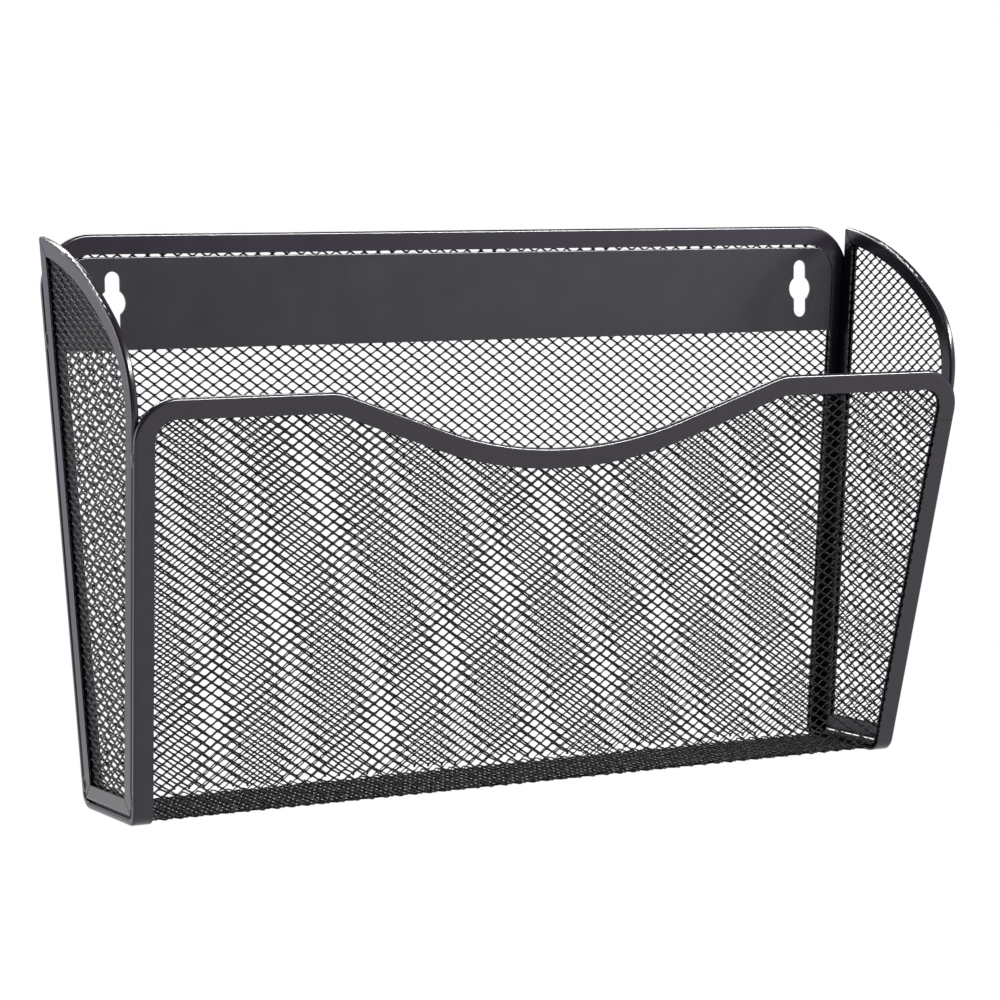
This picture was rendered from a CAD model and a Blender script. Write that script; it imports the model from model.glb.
"""Looks for the hanging file rack: open expanded mesh for the plain sheets, powder coat and weld beads."""
import math

import bmesh
import bpy
import numpy as np
from mathutils import Matrix, Vector, noise


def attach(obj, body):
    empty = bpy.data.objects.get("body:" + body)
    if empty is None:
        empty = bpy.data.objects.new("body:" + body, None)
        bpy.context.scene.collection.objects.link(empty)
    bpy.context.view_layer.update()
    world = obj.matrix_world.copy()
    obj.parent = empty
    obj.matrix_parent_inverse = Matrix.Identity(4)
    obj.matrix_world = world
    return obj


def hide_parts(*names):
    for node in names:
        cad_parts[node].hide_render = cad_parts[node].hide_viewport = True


MM = 0.001

# Sizes of the frame, in millimetres, the same as the part's own
TOP = 25.7
FLOOR = -188.5
HALF_TOP = 179.5
LEAN = math.radians(3.65)
TILT = math.radians(12.85)
FLOOR_DEPTH = 51.3
FRONT_SLANT = 160.4
BEND = 6.0
RIM_THICK = 2.8
BACK_CORNER = 19.5
FRONT_CORNER = 15.5
DIP_SLOPE = math.radians(20.0)
DIP_APEX = 34.4
DIP_VALLEY = 149.0
DIP_SHOULDER = 19.5
DIP_SHIFT = -2.8
END_THICK = 2.8
END_INSET = 0.1
END_GAP = 0.1
END_FLOOR_GAP = 0.7
TIP_DROP = 0.6
TIP_ANGLE = math.radians(7.2)
ARC_UPPER = 125.5
ARC_LOWER = 38.0
KEYHOLE_X = 152.4
KEYHOLE_SHIFT = 1.8
KEYHOLE_HEAD = 10.5
KEYHOLE_SLOT = 6.0
KEYHOLE_LENGTH = 23.5
BEAD_LONG = 3.4
BEAD_WIDE = 2.0
BEAD_PROUD = 1.0
BEAD_HIGH = 39.0
BEAD_FRONT = 22.0
BEAD_LOW = 9.0

# The outlines that the strands are cut to: how far they lie inside the frame and outside the keyholes, how
# far a straight stretch stops short of its corners, and the points of each stretch
CUT_INSET = 1.7
KEYHOLE_RELIEF = 1.5
CORNER_CLEAR = 2.0
CORNER_POINTS = 14
SIDE_POINTS = 60
TOP_POINTS = 90
UPPER_ARC_POINTS = 24
LOWER_ARC_POINTS = 16

# Expanded mesh: strands slit from sheet and stretched, so that each one is tilted out of the sheet's plane
STRAND_WIDE = 0.75
STRAND_THICK = 0.44
STRAND_TILT = math.radians(40.0)
BOND_HALF = 0.42
WANDER = 0.035

# A lattice is the place of one bond, the step to the next bond in its row and the step two rows down
MAIN_LATTICE = ((-137.08, 54.23), (5.9869, 0.2628), (-0.1216, 4.1976))
END_LATTICE = ((-22.20, 160.42), (-6.408, 0.137), (-0.405, -4.112))

# Weld beads' lumps as parts of their size, and how much the whole bead is shrunk to make room for them
BEAD_SWELL = 0.30
BEAD_KNOBS = 0.10
BEAD_RIPPLE = 0.05
BEAD_SHRINK = 0.88

# The studio's floor, in metres
STUDIO_REACH = 2.5
STUDIO_LEVEL = -0.7

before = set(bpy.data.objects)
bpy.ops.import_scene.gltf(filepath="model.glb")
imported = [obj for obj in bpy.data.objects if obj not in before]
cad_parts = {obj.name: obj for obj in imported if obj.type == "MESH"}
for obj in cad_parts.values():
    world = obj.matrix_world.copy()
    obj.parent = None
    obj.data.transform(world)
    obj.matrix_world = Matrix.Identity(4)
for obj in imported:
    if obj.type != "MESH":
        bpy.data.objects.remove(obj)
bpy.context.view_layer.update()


def half_width(z):
    """Half the rack's width at a height."""
    return HALF_TOP - (TOP - z) * math.tan(LEAN)


# The folded sheet's middle surface is followed by its length from the back's top edge, over the two bends
MID = RIM_THICK / 2
BEND_MID = BEND - MID
FRONT_TURN = math.pi / 2 - TILT
FRONT_BEND_Y = -FLOOR_DEPTH - BEND * math.tan(TILT) + BEND / math.cos(TILT)
LONG_BACK = TOP - FLOOR - BEND
LONG_BEND = BEND_MID * math.pi / 2
LONG_FLOOR = -BEND - FRONT_BEND_Y
LONG_TURN = BEND_MID * FRONT_TURN
FRONT_START = BEND * math.tan(FRONT_TURN / 2)
S_BEND = LONG_BACK
S_FLOOR = S_BEND + LONG_BEND
S_TURN = S_FLOOR + LONG_FLOOR
S_FRONT = S_TURN + LONG_TURN
S_END = S_FRONT + FRONT_SLANT - FRONT_START


def sheet_profile(s):
    """Y, Z and the inward normal's Y, Z of the folded sheet's middle surface at lengths s."""
    back = (np.full_like(s, -MID), TOP - s, np.full_like(s, -1.0), np.zeros_like(s))
    angle = np.clip((s - S_BEND) / BEND_MID, 0, math.pi / 2)
    heel = (
        -BEND + BEND_MID * np.cos(angle), FLOOR + BEND - BEND_MID * np.sin(angle),
        -np.cos(angle), np.sin(angle),
    )
    floor = (-BEND - (s - S_FLOOR), np.full_like(s, FLOOR + MID), np.zeros_like(s), np.ones_like(s))
    angle = np.clip((s - S_TURN) / BEND_MID, 0, FRONT_TURN)
    toe = (
        FRONT_BEND_Y - BEND_MID * np.sin(angle), FLOOR + BEND - BEND_MID * np.cos(angle),
        np.sin(angle), np.cos(angle),
    )
    rise = FRONT_START + (s - S_FRONT)
    front = (
        -FLOOR_DEPTH - rise * math.sin(TILT) + MID * math.cos(TILT),
        FLOOR + rise * math.cos(TILT) + MID * math.sin(TILT),
        np.full_like(s, math.cos(TILT)), np.full_like(s, math.sin(TILT)),
    )
    zones = [s < S_BEND, s < S_FLOOR, s < S_TURN, s < S_FRONT]
    parts = zip(back, heel, floor, toe, front)
    return [np.select(zones, part[:4], default=part[4]) for part in parts]


def place_on_sheet(x, s, d):
    """Points of the folded sheet: across, length along it, and height off its middle towards the pocket."""
    y, z, ny, nz = sheet_profile(s)
    return np.stack([x, y + ny * d, z + nz * d], axis=-1) * MM


def place_on_end(side):
    """A function that places points of the end panel on that side: Y, height along it and depth."""
    base = half_width(FLOOR) - (END_INSET + END_THICK / 2) / math.cos(LEAN)

    def place(y, s, d):
        x = side * (base + s * math.sin(LEAN) - d * math.cos(LEAN))
        z = FLOOR + s * math.cos(LEAN) + d * math.sin(LEAN)
        return np.stack([x, y, z], axis=-1) * MM

    return place


def arc(cx, cy, radius, start, stop, count):
    """Points of an arc, angles in radians."""
    return [
        (cx + radius * math.cos(a), cy + radius * math.sin(a))
        for a in np.linspace(start, stop, count)
    ]


def front_top(x, inset):
    """How far the front's top edge lies below its flat parts, with the outline moved inwards."""
    apex = DIP_APEX + inset / math.cos(DIP_SLOPE) - inset
    away = abs(x - DIP_SHIFT)
    valley = DIP_VALLEY + inset
    shoulder = DIP_SHOULDER - inset
    corner = apex / math.tan(DIP_SLOPE)
    tangent = shoulder * math.tan(DIP_SLOPE / 2)
    if away < valley * math.sin(DIP_SLOPE):
        return apex - valley / math.cos(DIP_SLOPE) + math.sqrt(valley ** 2 - away ** 2)
    if away > corner + tangent:
        return 0.0
    if away > corner - tangent * math.cos(DIP_SLOPE):
        return shoulder - math.sqrt(shoulder ** 2 - (away - corner - tangent) ** 2)
    return apex - away * math.tan(DIP_SLOPE)


def sheet_outline(inset):
    """The folded sheet's outline as a polygon of across and length, moved inwards."""
    radius = BACK_CORNER - inset
    level = inset + radius
    centre = half_width(TOP - level) - (inset + radius) / math.cos(LEAN)
    right = arc(centre, level, radius, -math.pi / 2, 0, CORNER_POINTS)
    for s in np.linspace(level + CORNER_CLEAR, S_END - FRONT_CORNER - CORNER_CLEAR, SIDE_POINTS):
        z = sheet_profile(np.array([s]))[1][0]
        right.append((half_width(z) - inset / math.cos(LEAN), s))
    radius = FRONT_CORNER - inset
    level = S_END - inset - radius
    z = sheet_profile(np.array([level]))[1][0]
    centre = half_width(z) - (inset + radius) / math.cos(LEAN)
    right += arc(centre, level, radius, 0, math.pi / 2, CORNER_POINTS)
    left = [(-x, s) for x, s in reversed(right)]
    edge = np.linspace(centre - CORNER_CLEAR, CORNER_CLEAR - centre, TOP_POINTS)
    top = [(x, S_END - inset - front_top(x, inset)) for x in edge]
    return np.array(right + top + left)


def end_outline(inset):
    """An end panel's outline as a polygon of Y and height along the panel, moved inwards."""
    turn = math.atan(math.tan(TILT) * math.cos(LEAN))
    depth = RIM_THICK + END_GAP + inset
    back = -depth
    low = (RIM_THICK + END_FLOOR_GAP) / math.cos(LEAN) + inset
    foot = Vector((-FLOOR_DEPTH - low * math.tan(turn) + depth / math.cos(turn), low))
    inward = Vector((math.cos(turn), math.sin(turn)))
    centre = Vector((
        -RIM_THICK - END_GAP + ARC_UPPER * math.sin(TIP_ANGLE),
        (TOP - FLOOR - TIP_DROP) / math.cos(LEAN) - ARC_UPPER * math.cos(TIP_ANGLE),
    ))
    upper = ARC_UPPER - inset
    lower = ARC_LOWER - inset
    drop = (centre - foot).dot(inward) - lower
    climb = math.sqrt((upper - lower) ** 2 - drop ** 2)
    second = centre - inward * drop + Vector((-inward.y, inward.x)) * climb
    meet = math.atan2(second.y - centre.y, second.x - centre.x)
    start = math.acos((back - centre.x) / upper)
    return np.array(
        arc(centre.x, centre.y, upper, start, meet, UPPER_ARC_POINTS)
        + arc(second.x, second.y, lower, meet, math.pi + turn, LOWER_ARC_POINTS)
        + [tuple(foot), (back, low)]
    )


def inside(polygon, u, v):
    """Which points lie inside a polygon."""
    hit = np.zeros(u.shape, dtype=bool)
    following = np.roll(polygon, -1, axis=0)
    for (u0, v0), (u1, v1) in zip(polygon, following):
        if v0 == v1:
            continue
        crosses = (v0 > v) != (v1 > v)
        hit ^= crosses & (u < u0 + (v - v0) * (u1 - u0) / (v1 - v0))
    return hit


def near_keyhole(x, s):
    """Which points of the folded sheet fall where it is cut away behind a keyhole."""
    x = np.abs(x - KEYHOLE_SHIFT) - KEYHOLE_X
    z = TOP - s
    reach = (KEYHOLE_LENGTH - KEYHOLE_SLOT) / 2
    rounds = np.hypot(x, z) < KEYHOLE_HEAD / 2 + KEYHOLE_RELIEF
    beyond = np.maximum(np.abs(z) - reach, 0)
    return rounds | (np.hypot(x, beyond) < KEYHOLE_SLOT / 2 + KEYHOLE_RELIEF)


def expanded_mesh(name, lattice, rows, steps, keep, place, seed, tilt):
    """Zigzag strands of expanded mesh on a surface.

    rows and steps are the ranges of the lattice that are made. keep says which points of the surface carry
    strands, place maps them into space and tilt is the angle of the strands' broad faces to the surface.
    """
    origin, along, down = (np.array(vector) for vector in lattice)
    random = np.random.RandomState(seed)
    row = np.arange(*rows)[:, None]
    step = np.arange(*steps)[None, :]
    level = row + (step - row) % 2
    middle = origin + step[..., None] / 2 * along + level[..., None] / 2 * down
    middle = middle + random.normal(0, WANDER, middle.shape)
    lower = (level > row)[..., None]
    wide = STRAND_WIDE / 2
    side = np.where(lower, -1.0, 1.0) * wide * math.cos(tilt)
    heading = along / np.linalg.norm(along)
    down_way = down / np.linalg.norm(down)
    middle = middle + side * down_way
    ends = np.stack([middle - heading * BOND_HALF, middle + heading * BOND_HALF], axis=2)
    shape = (row.shape[0], 2 * step.shape[1])
    ends = ends.reshape(*shape, 2)
    depth = np.where(lower, 1.0, -1.0) * wide * math.sin(tilt)
    depth = np.broadcast_to(depth, (*lower.shape[:2], 2)).reshape(shape)

    sections = []
    for across, through in ((-1, -1), (1, -1), (1, 1), (-1, 1)):
        a = across * wide
        t = through * STRAND_THICK / 2
        slide = a * math.cos(tilt) - t * math.sin(tilt)
        lift = -a * math.sin(tilt) - t * math.cos(tilt)
        point = ends + slide * down_way
        sections.append(place(point[..., 0], point[..., 1], depth + lift))
    corners = np.stack(sections, axis=2)

    used = keep(ends[..., 0], ends[..., 1])
    joined = used[:, :-1] & used[:, 1:]
    index = np.arange(shape[0] * shape[1]).reshape(shape) * 4
    first = index[:, :-1][joined][:, None]
    second = index[:, 1:][joined][:, None]
    turn = np.array([1, 2, 3, 0])
    here = np.arange(4)
    walls = np.stack([first + here, first + turn, second + turn, second + here], axis=-1).reshape(-1, 4)
    edge = np.zeros((shape[0], 1), dtype=bool)
    starts = used & ~np.hstack([edge, joined]) & np.hstack([joined, edge])
    stops = used & ~np.hstack([joined, edge]) & np.hstack([edge, joined])
    caps = np.concatenate([
        index[starts][:, None] + np.array([3, 2, 1, 0]),
        index[stops][:, None] + here,
    ])
    faces = np.concatenate([walls, caps])
    points, compact = np.unique(faces, return_inverse=True)
    vertices = corners.reshape(-1, 3)[points]
    data = bpy.data.meshes.new(name)
    data.from_pydata(vertices.tolist(), [], compact.reshape(-1, 4).tolist())
    data.validate()
    fixed = bmesh.new()
    fixed.from_mesh(data)
    bmesh.ops.recalc_face_normals(fixed, faces=fixed.faces)
    fixed.to_mesh(data)
    fixed.free()
    data.polygons.foreach_set("use_smooth", [True] * len(data.polygons))
    piece = bpy.data.objects.new(name, data)
    bpy.context.scene.collection.objects.link(piece)
    return piece


def powder_coat(name, dark, light, rough, peel, ior):
    """Semi-gloss black powder coat: fine orange peel, slow waves in the metal below and a mottled sheen."""
    material = bpy.data.materials.new(name)
    material.use_nodes = True
    nodes = material.node_tree.nodes
    links = material.node_tree.links
    shader = nodes["Principled BSDF"]
    shader.inputs["IOR"].default_value = ior
    place = nodes.new("ShaderNodeTexCoord")

    def grain(scale, detail):
        texture = nodes.new("ShaderNodeTexNoise")
        texture.inputs["Scale"].default_value = scale
        texture.inputs["Detail"].default_value = detail
        links.new(place.outputs["Object"], texture.inputs["Vector"])
        return texture.outputs["Fac"]

    tone = nodes.new("ShaderNodeMix")
    tone.data_type = "RGBA"
    tone.inputs["A"].default_value = (*dark, 1)
    tone.inputs["B"].default_value = (*light, 1)
    links.new(grain(140, 4), tone.inputs["Factor"])
    links.new(tone.outputs["Result"], shader.inputs["Base Color"])
    sheen = nodes.new("ShaderNodeMapRange")
    sheen.inputs["To Min"].default_value = rough - 0.05
    sheen.inputs["To Max"].default_value = rough + 0.05
    links.new(grain(60, 3), sheen.inputs["Value"])
    links.new(sheen.outputs["Result"], shader.inputs["Roughness"])
    waves = nodes.new("ShaderNodeBump")
    waves.inputs["Strength"].default_value = 0.12
    waves.inputs["Distance"].default_value = 0.0004
    links.new(grain(45, 1), waves.inputs["Height"])
    skin = nodes.new("ShaderNodeBump")
    skin.inputs["Strength"].default_value = peel
    skin.inputs["Distance"].default_value = 0.00006
    links.new(grain(1500, 2), skin.inputs["Height"])
    links.new(waves.outputs["Normal"], skin.inputs["Normal"])
    links.new(skin.outputs["Normal"], shader.inputs["Normal"])
    return material


channel_coat = powder_coat(
    "channel_coat", dark=(0.0057, 0.0042, 0.0069), light=(0.0086, 0.0066, 0.0102),
    rough=0.22, peel=0.3, ior=1.42,
)
mesh_coat = powder_coat(
    "mesh_coat", dark=(0.0018, 0.0015, 0.0021), light=(0.0040, 0.0036, 0.0046),
    rough=0.28, peel=0.4, ior=1.20,
)
plate_coat = powder_coat(
    "plate_coat", dark=(0.0058, 0.0055, 0.0070), light=(0.0088, 0.0084, 0.0106),
    rough=0.26, peel=0.5, ior=1.44,
)
weld_coat = powder_coat(
    "weld_coat", dark=(0.0095, 0.0088, 0.0108), light=(0.0170, 0.0155, 0.0190),
    rough=0.24, peel=0.8, ior=1.42,
)


def dress(item, material):
    """Gives an object one material."""
    item.data.materials.clear()
    item.data.materials.append(material)


for node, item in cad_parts.items():
    if node == "mounting_plate":
        dress(item, plate_coat)
    else:
        dress(item, channel_coat)

# The folded sheet's strands, as three pieces that meet at the middles of its bends
HEEL = (S_BEND + S_FLOOR) / 2
TOE = (S_TURN + S_FRONT) / 2
outline = sheet_outline(CUT_INSET)


def between(low, high):
    """A test for the part of the folded sheet between two lengths, clear of its edges and the keyholes."""
    return lambda x, s: (s >= low) & (s < high) & inside(outline, x, s) & ~near_keyhole(x, s)


for name, rows, steps, keep, seed, tilt in (
    ("back_strands", (-40, 90), (-30, 130), between(0, HEEL), 11, STRAND_TILT),
    ("floor_strands", (60, 130), (-30, 130), between(HEEL, TOE), 12, -STRAND_TILT),
    ("front_strands", (80, 190), (-40, 130), between(TOE, S_END), 13, STRAND_TILT),
):
    piece = expanded_mesh(name, MAIN_LATTICE, rows, steps, keep, place_on_sheet, seed, tilt)
    dress(piece, mesh_coat)
    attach(piece, "root")
    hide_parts("main_mesh")

# The end panels' strands
end_edge = end_outline(CUT_INSET)
for label, side in (("left", -1), ("right", 1)):
    piece = expanded_mesh(
        f"end_strands_{label}", END_LATTICE, rows=(-30, 90), steps=(-20, 40),
        keep=lambda y, s: inside(end_edge, y, s), place=place_on_end(side), seed=20 + side, tilt=STRAND_TILT,
    )
    dress(piece, mesh_coat)
    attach(piece, "root")
    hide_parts(f"end_mesh_{label}")


def on_front(rise):
    """Y and Z on the front's outer face at a height along its slope."""
    return -FLOOR_DEPTH - rise * math.sin(TILT), FLOOR + rise * math.cos(TILT)


def weld_beads(name, side):
    """Lumpy weld beads in the groove between the loop and one end panel."""
    groove = RIM_THICK + END_GAP / 2
    into = Vector((0, math.cos(TILT), math.sin(TILT))) * groove
    places = [(-groove, TOP - BEAD_HIGH, 0), (-groove, FLOOR + BEAD_LOW, 0)]
    for rise in (FRONT_SLANT - BEAD_FRONT, BEAD_LOW):
        y, z = on_front(rise)
        places.append((y + into.y, z + into.z, TILT))
    shape = bmesh.new()
    for index, (y, z, tilt) in enumerate(places):
        lump = bmesh.ops.create_icosphere(shape, subdivisions=4, radius=1)["verts"]
        turned = Matrix.Rotation(side * LEAN, 3, "Y") @ Matrix.Rotation(tilt, 3, "X")
        centre = Vector((side * (half_width(z) - BEAD_PROUD / 2), y, z))
        start = Vector((7.3 * index, side * 4.1, 2.7))
        for point in lump:
            out = point.co.normalized()
            swell = BEAD_SWELL * noise.noise(out * 1.6 + start)
            knobs = BEAD_KNOBS * noise.noise(out * 5 + start)
            ripple = BEAD_RIPPLE * math.sin(out.z * 14 + 2 * noise.noise(out * 2 + start))
            size = (1 + swell + knobs + ripple) * BEAD_SHRINK
            blob = Vector((out.x * BEAD_PROUD, out.y * BEAD_WIDE, out.z * BEAD_LONG)) * size
            point.co = (centre + turned @ blob) * MM
    data = bpy.data.meshes.new(name)
    shape.to_mesh(data)
    shape.free()
    data.polygons.foreach_set("use_smooth", [True] * len(data.polygons))
    piece = bpy.data.objects.new(name, data)
    bpy.context.scene.collection.objects.link(piece)
    return piece


for label, side in (("left", -1), ("right", 1)):
    piece = weld_beads(f"beads_{label}", side)
    dress(piece, weld_coat)
    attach(piece, "root")
    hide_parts(f"end_welds_{label}")


def camera_at(location, turn, pitch, roll, lens):
    """A camera turned to the right of +Y, tipped down and rolled, in degrees."""
    turn, pitch, roll = (math.radians(angle) for angle in (turn, pitch, roll))
    forward = Vector((
        math.sin(turn) * math.cos(pitch), math.cos(turn) * math.cos(pitch), -math.sin(pitch),
    ))
    level = Vector((math.cos(turn), -math.sin(turn), 0))
    up = level.cross(forward)
    right = level * math.cos(roll) + up * math.sin(roll)
    up = up * math.cos(roll) - level * math.sin(roll)
    data = bpy.data.cameras.new("camera")
    data.lens = lens
    data.sensor_width = 36
    camera = bpy.data.objects.new("camera", data)
    axes = Matrix((right, up, -forward)).transposed().to_4x4()
    camera.matrix_world = Matrix.Translation(location) @ axes
    bpy.context.scene.collection.objects.link(camera)
    return camera


bpy.context.scene.camera = camera_at(
    location=(-0.58690, -1.12783, 0.02218), turn=28.0103, pitch=4.6470, roll=-0.7046, lens=115.715,
)


def soft_light(name, location, target, size, power):
    """A rectangular softbox aimed at a point."""
    data = bpy.data.lights.new(name, "AREA")
    data.shape = "RECTANGLE"
    data.size, data.size_y = size
    data.energy = power
    light = bpy.data.objects.new(name, data)
    light.location = location
    light.visible_camera = False
    light.rotation_mode = "QUATERNION"
    light.rotation_quaternion = (Vector(target) - Vector(location)).to_track_quat("-Z", "Y")
    bpy.context.scene.collection.objects.link(light)
    return light


def pale_floor():
    """A plain floor below the rack, as white as the backdrop."""
    data = bpy.data.meshes.new("floor")
    corners = [
        (x * STUDIO_REACH, y * STUDIO_REACH, STUDIO_LEVEL)
        for x, y in ((-1, -1), (1, -1), (1, 1), (-1, 1))
    ]
    data.from_pydata(corners, [], [(0, 1, 2, 3)])
    plane = bpy.data.objects.new("floor", data)
    bpy.context.scene.collection.objects.link(plane)
    pale = bpy.data.materials.new("pale_floor")
    pale.use_nodes = True
    shader = pale.node_tree.nodes["Principled BSDF"]
    shader.inputs["Base Color"].default_value = (0.93, 0.93, 0.93, 1)
    shader.inputs["Roughness"].default_value = 0.9
    shader.inputs["Emission Color"].default_value = (1, 1, 1, 1)
    shader.inputs["Emission Strength"].default_value = 1.0
    dress(plane, pale)
    return plane


strips = [
    soft_light("front_strip", location=(0.90, -1.36, 1.14), target=(0.1, 0, 0), size=(1.6, 0.16), power=175),
    soft_light("rear_strip", location=(-0.20, 1.30, 1.25), target=(0, 0, 0), size=(2.2, 0.22), power=40),
]
soft_light("left_bank", location=(-2.0, 1.6, 0.35), target=(0, 0, -0.05), size=(1.2, 1.6), power=22)

floor = pale_floor()

# The two strips light the rack and leave the floor alone
rack_only = bpy.data.collections.new("rack_only")
rack_only.objects.link(floor)
rack_only.collection_objects[0].light_linking.link_state = "EXCLUDE"
for light in strips:
    light.light_linking.receiver_collection = rack_only


def studio_world():
    """Dim even light and two broad glows for the rack, and a plain white backdrop for the camera."""
    world = bpy.data.worlds.new("studio")
    world.use_nodes = True
    nodes = world.node_tree.nodes
    links = world.node_tree.links
    path = nodes.new("ShaderNodeLightPath")
    heading = nodes.new("ShaderNodeTexCoord")
    level = nodes.new("ShaderNodeValue")
    level.outputs[0].default_value = 0.08
    total = level.outputs[0]
    for direction, start, full, strength in (
        ((-0.50, 0.85, 0.10), 0.50, 1.0, 1.1),
        ((0.77, -0.64, -0.20), 0.84, 0.96, 1.7),
    ):
        facing = nodes.new("ShaderNodeVectorMath")
        facing.operation = "DOT_PRODUCT"
        facing.inputs[1].default_value = Vector(direction).normalized()
        links.new(heading.outputs["Generated"], facing.inputs[0])
        glow = nodes.new("ShaderNodeMapRange")
        glow.inputs["From Min"].default_value = start
        glow.inputs["From Max"].default_value = full
        glow.inputs["To Max"].default_value = strength
        links.new(facing.outputs["Value"], glow.inputs["Value"])
        both = nodes.new("ShaderNodeMath")
        links.new(total, both.inputs[0])
        links.new(glow.outputs["Result"], both.inputs[1])
        total = both.outputs[0]
    room = nodes.new("ShaderNodeBackground")
    room.inputs["Color"].default_value = (0.98, 0.94, 1.05, 1)
    links.new(total, room.inputs["Strength"])
    backdrop = nodes["Background"]
    backdrop.inputs["Color"].default_value = (1, 1, 1, 1)
    backdrop.inputs["Strength"].default_value = 1.0
    seen = nodes.new("ShaderNodeMixShader")
    links.new(path.outputs["Is Camera Ray"], seen.inputs["Fac"])
    links.new(room.outputs["Background"], seen.inputs[1])
    links.new(backdrop.outputs["Background"], seen.inputs[2])
    links.new(seen.outputs["Shader"], nodes["World Output"].inputs["Surface"])
    return world


bpy.context.scene.world = studio_world()
bpy.context.scene.view_settings.view_transform = "Standard"
